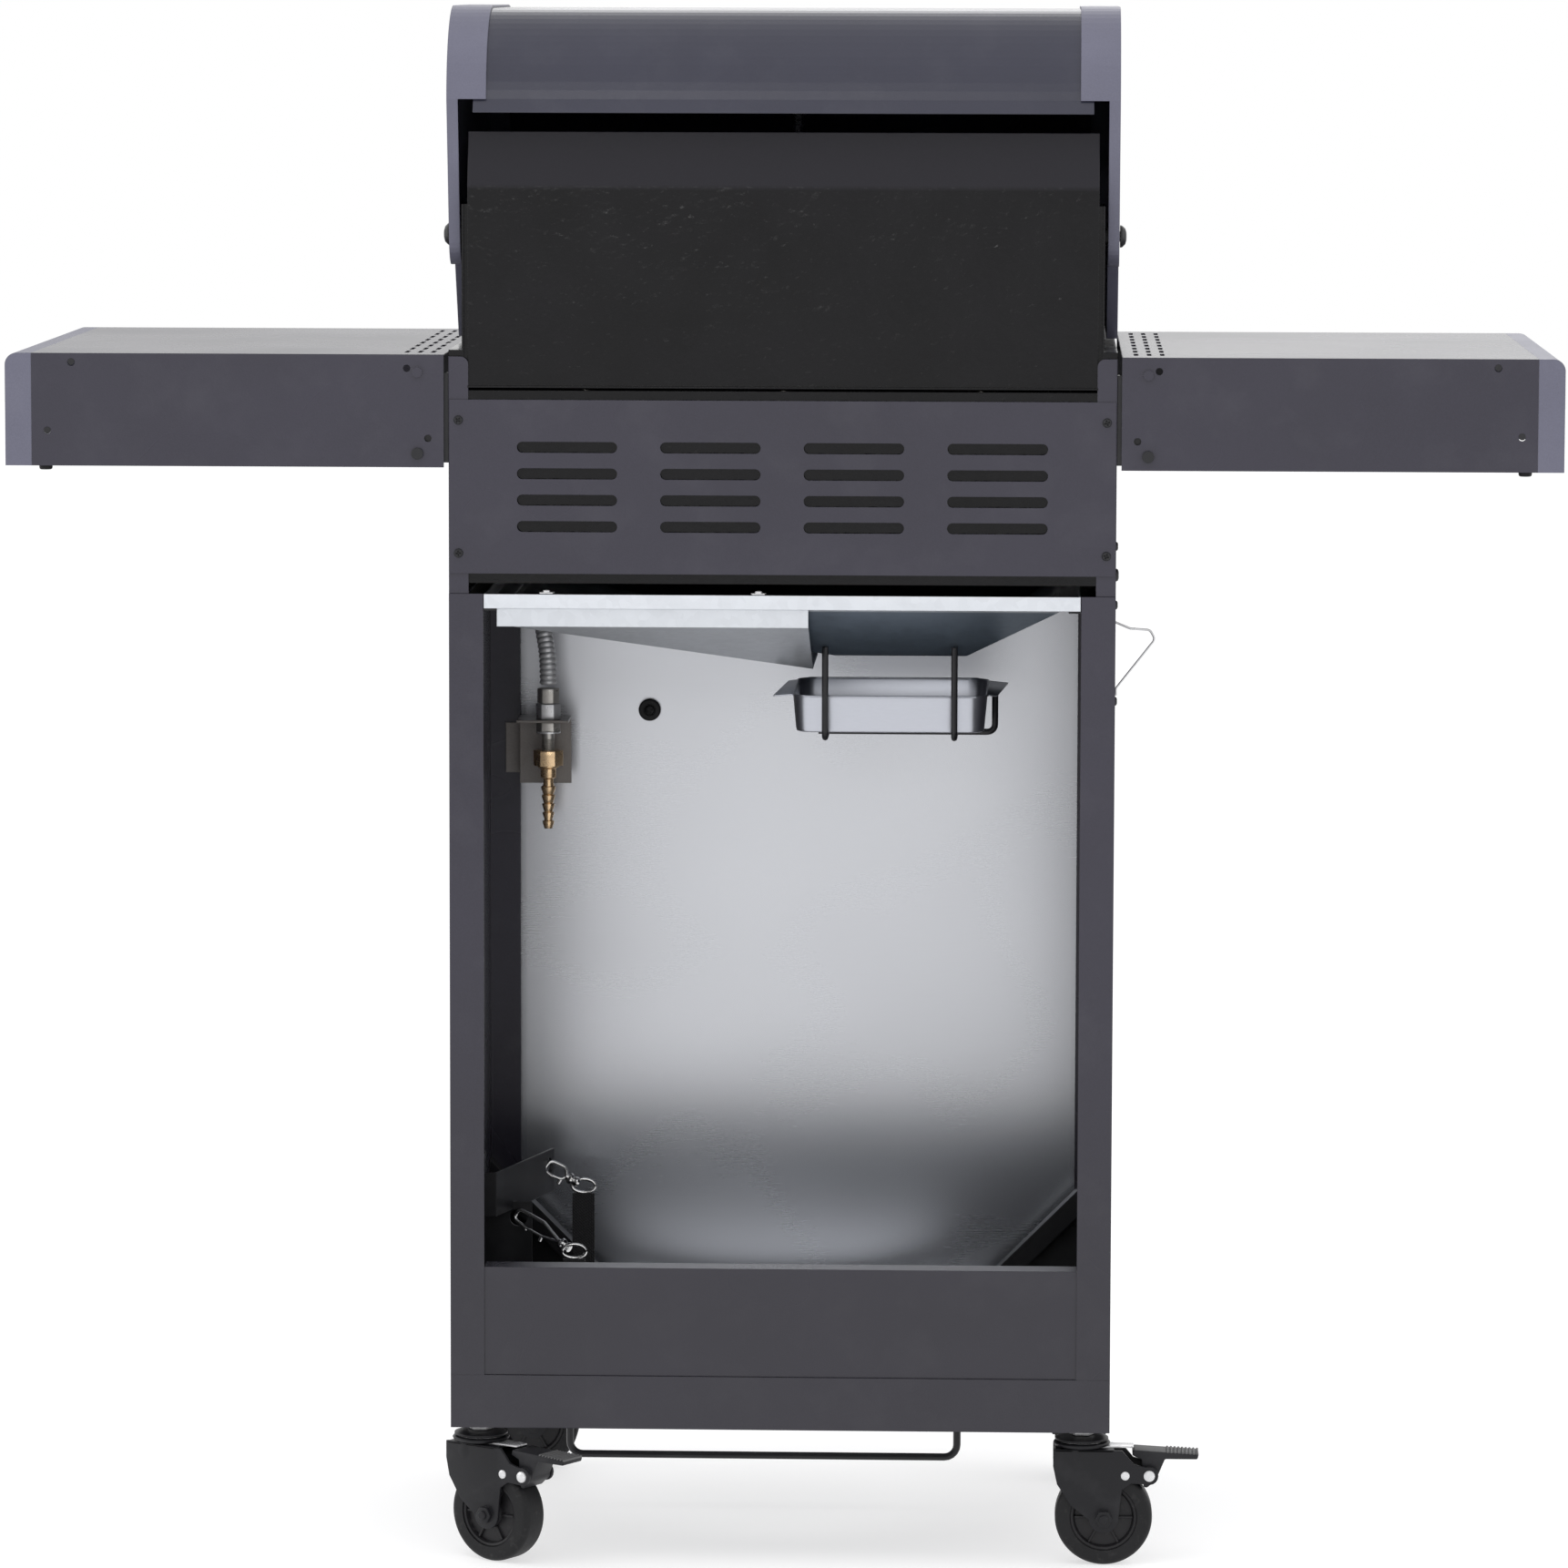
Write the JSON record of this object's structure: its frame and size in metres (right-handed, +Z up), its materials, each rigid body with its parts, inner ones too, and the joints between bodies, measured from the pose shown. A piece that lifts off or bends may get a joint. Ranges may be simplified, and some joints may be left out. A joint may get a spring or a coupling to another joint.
{
  "type": "gas barbecue grill",
  "caption": "Gas barbecue grill on a steel cart with casters, seen from behind: arched lid, slotted back panel, folding side shelves, grease tray with drip cup and open base for a gas bottle.",
  "frame": {"origin": "on the floor, below the middle of the space the whole grill takes at rest", "axes": "+Z up, -Y the front with the control panel and door, +X the left shelf as seen from behind"},
  "size_m": [1.18, 0.4999, 1.194],
  "materials": {
    "painted": "satin",
    "painted_trim": "satin",
    "enamel": "gloss",
    "black_steel": "satin",
    "zinc": "satin",
    "cast": "matt",
    "webbing": "matt",
    "tyre": "matt",
    "knob_plastic": "satin",
    "stainless": "brushed",
    "brown_steel": "matt",
    "brass": "satin",
    "aluminium": "satin"
  },
  "bodies": {
    "cart": {"base_pan": "painted", "side_panels": "painted", "back_rail": "painted", "front_rail": "painted", "corner_gussets": "black_steel", "bottle_cradle": "black_steel", "caster_stems": "zinc", "side_frames": "painted", "vent_panel": "painted", "firebox": "enamel", "back_wall": "enamel", "control_panel": "painted", "knob_bezels": "stainless", "gas_manifold": "zinc", "burners": "stainless", "flame_tamers": "stainless", "cooking_grates": "cast", "warming_rack": "stainless", "shelf_brackets": "black_steel", "tray_rails": "black_steel", "gas_hose": "zinc", "inlet_bracket": "brown_steel", "hose_barb": "brass", "strap_bracket": "black_steel", "strap_hooks": "zinc", "bottle_strap": "webbing", "body_screws": "black_steel", "door_hinges": "black_steel", "match_holder": "zinc", "lid_pivots": "zinc"},
    "lid": {"lid_skin": "painted", "lid_ends": "painted_trim", "lid_handle": "stainless", "thermometer": "stainless"},
    "door": {"door_panel": "stainless", "door_handle": "stainless"},
    "tray": {"grease_tray": "zinc", "heat_shield": "zinc", "cup_hanger": "black_steel"},
    "cup": {"drip_cup": "aluminium"},
    "left_shelf": {"shelf_left": "painted", "shelf_cap_left": "painted_trim"},
    "right_shelf": {"shelf_right": "painted", "shelf_cap_right": "painted_trim"},
    "stem_1": {"valve_stem_1": "zinc"},
    "turning_knob_1": {"knob_1": "knob_plastic"},
    "stem_2": {"valve_stem_2": "zinc"},
    "turning_knob_2": {"knob_2": "knob_plastic"},
    "stem_3": {"valve_stem_3": "zinc"},
    "turning_knob_3": {"knob_3": "knob_plastic"},
    "fork_1": {"caster_fork_1": "black_steel"},
    "wheel_1": {"caster_wheel_1": "tyre"},
    "fork_2": {"caster_fork_2": "black_steel"},
    "wheel_2": {"caster_wheel_2": "tyre"},
    "fork_3": {"caster_fork_3": "black_steel"},
    "wheel_3": {"caster_wheel_3": "tyre"},
    "fork_4": {"caster_fork_4": "black_steel"},
    "wheel_4": {"caster_wheel_4": "tyre"},
    "pedal_1": {"brake_pedal_1": "black_steel"},
    "pedal_2": {"brake_pedal_2": "black_steel"}
  },
  "joints": [
    {"name": "lid_hinge", "type": "hinge", "parent": "cart", "child": "lid", "pos_m": [0, 0.171, 1.021], "axis": [-1, 0, 0], "range_deg": [0, 88]},
    {"name": "door_hinge", "type": "hinge", "parent": "cart", "child": "door", "pos_m": [-0.243, -0.201, 0.447], "axis": [0, 0, -1], "range_deg": [0, 110]},
    {"name": "tray_slide", "type": "slide", "parent": "cart", "child": "tray", "axis": [0, 1, 0], "range_m": [0, 0.34]},
    {"name": "cup_slide", "type": "slide", "parent": "tray", "child": "cup", "axis": [0, -1, 0], "range_m": [0, 0.11]},
    {"name": "left_shelf_fold", "type": "hinge", "parent": "cart", "child": "left_shelf", "pos_m": [0.2765, 0.0145, 0.8565], "axis": [0, 1, 0], "range_deg": [0, 90]},
    {"name": "right_shelf_fold", "type": "hinge", "parent": "cart", "child": "right_shelf", "pos_m": [-0.2765, 0.0145, 0.8565], "axis": [0, -1, 0], "range_deg": [0, 90]},
    {"name": "knob_push_1", "type": "slide", "parent": "cart", "child": "stem_1", "axis": [0, 1, 0], "range_m": [0, 0.003], "stiffness_N_per_m": 400},
    {"name": "knob_turn_1", "type": "hinge", "parent": "stem_1", "child": "turning_knob_1", "pos_m": [-0.15, -0.22, 0.845], "axis": [0, -1, 0], "range_deg": [0, 180]},
    {"name": "knob_push_2", "type": "slide", "parent": "cart", "child": "stem_2", "axis": [0, 1, 0], "range_m": [0, 0.003], "stiffness_N_per_m": 400},
    {"name": "knob_turn_2", "type": "hinge", "parent": "stem_2", "child": "turning_knob_2", "pos_m": [0, -0.22, 0.845], "axis": [0, -1, 0], "range_deg": [0, 180]},
    {"name": "knob_push_3", "type": "slide", "parent": "cart", "child": "stem_3", "axis": [0, 1, 0], "range_m": [0, 0.003], "stiffness_N_per_m": 400},
    {"name": "knob_turn_3", "type": "hinge", "parent": "stem_3", "child": "turning_knob_3", "pos_m": [0.15, -0.22, 0.845], "axis": [0, -1, 0], "range_deg": [0, 180]},
    {"name": "swivel_1", "type": "hinge", "parent": "cart", "child": "fork_1", "pos_m": [-0.232, 0.186, 0.09], "axis": [0, 0, 1], "continuous": true},
    {"name": "roll_1", "type": "hinge", "parent": "fork_1", "child": "wheel_1", "pos_m": [-0.249, 0.186, 0.0375], "axis": [0, 1, 0], "continuous": true},
    {"name": "pedal_press_1", "type": "hinge", "parent": "fork_1", "child": "pedal_1", "pos_m": [-0.284, 0.186, 0.071], "axis": [0, -1, 0], "range_deg": [0, 12]},
    {"name": "swivel_2", "type": "hinge", "parent": "cart", "child": "fork_2", "pos_m": [0.232, 0.186, 0.09], "axis": [0, 0, 1], "continuous": true},
    {"name": "roll_2", "type": "hinge", "parent": "fork_2", "child": "wheel_2", "pos_m": [0.21791, 0.19551, 0.0375], "axis": [0.5592, 0.829, 0], "continuous": true},
    {"name": "pedal_press_2", "type": "hinge", "parent": "fork_2", "child": "pedal_2", "pos_m": [0.18889, 0.21508, 0.071], "axis": [-0.5592, -0.829, 0], "range_deg": [0, 12]},
    {"name": "swivel_3", "type": "hinge", "parent": "cart", "child": "fork_3", "pos_m": [-0.232, -0.159, 0.09], "axis": [0, 0, 1], "continuous": true},
    {"name": "roll_3", "type": "hinge", "parent": "fork_3", "child": "wheel_3", "pos_m": [-0.232, -0.142, 0.0375], "axis": [1, 0, 0], "continuous": true},
    {"name": "swivel_4", "type": "hinge", "parent": "cart", "child": "fork_4", "pos_m": [0.232, -0.159, 0.09], "axis": [0, 0, 1], "continuous": true},
    {"name": "roll_4", "type": "hinge", "parent": "fork_4", "child": "wheel_4", "pos_m": [0.215, -0.159, 0.0375], "axis": [0, 1, 0], "continuous": true}
  ]
}
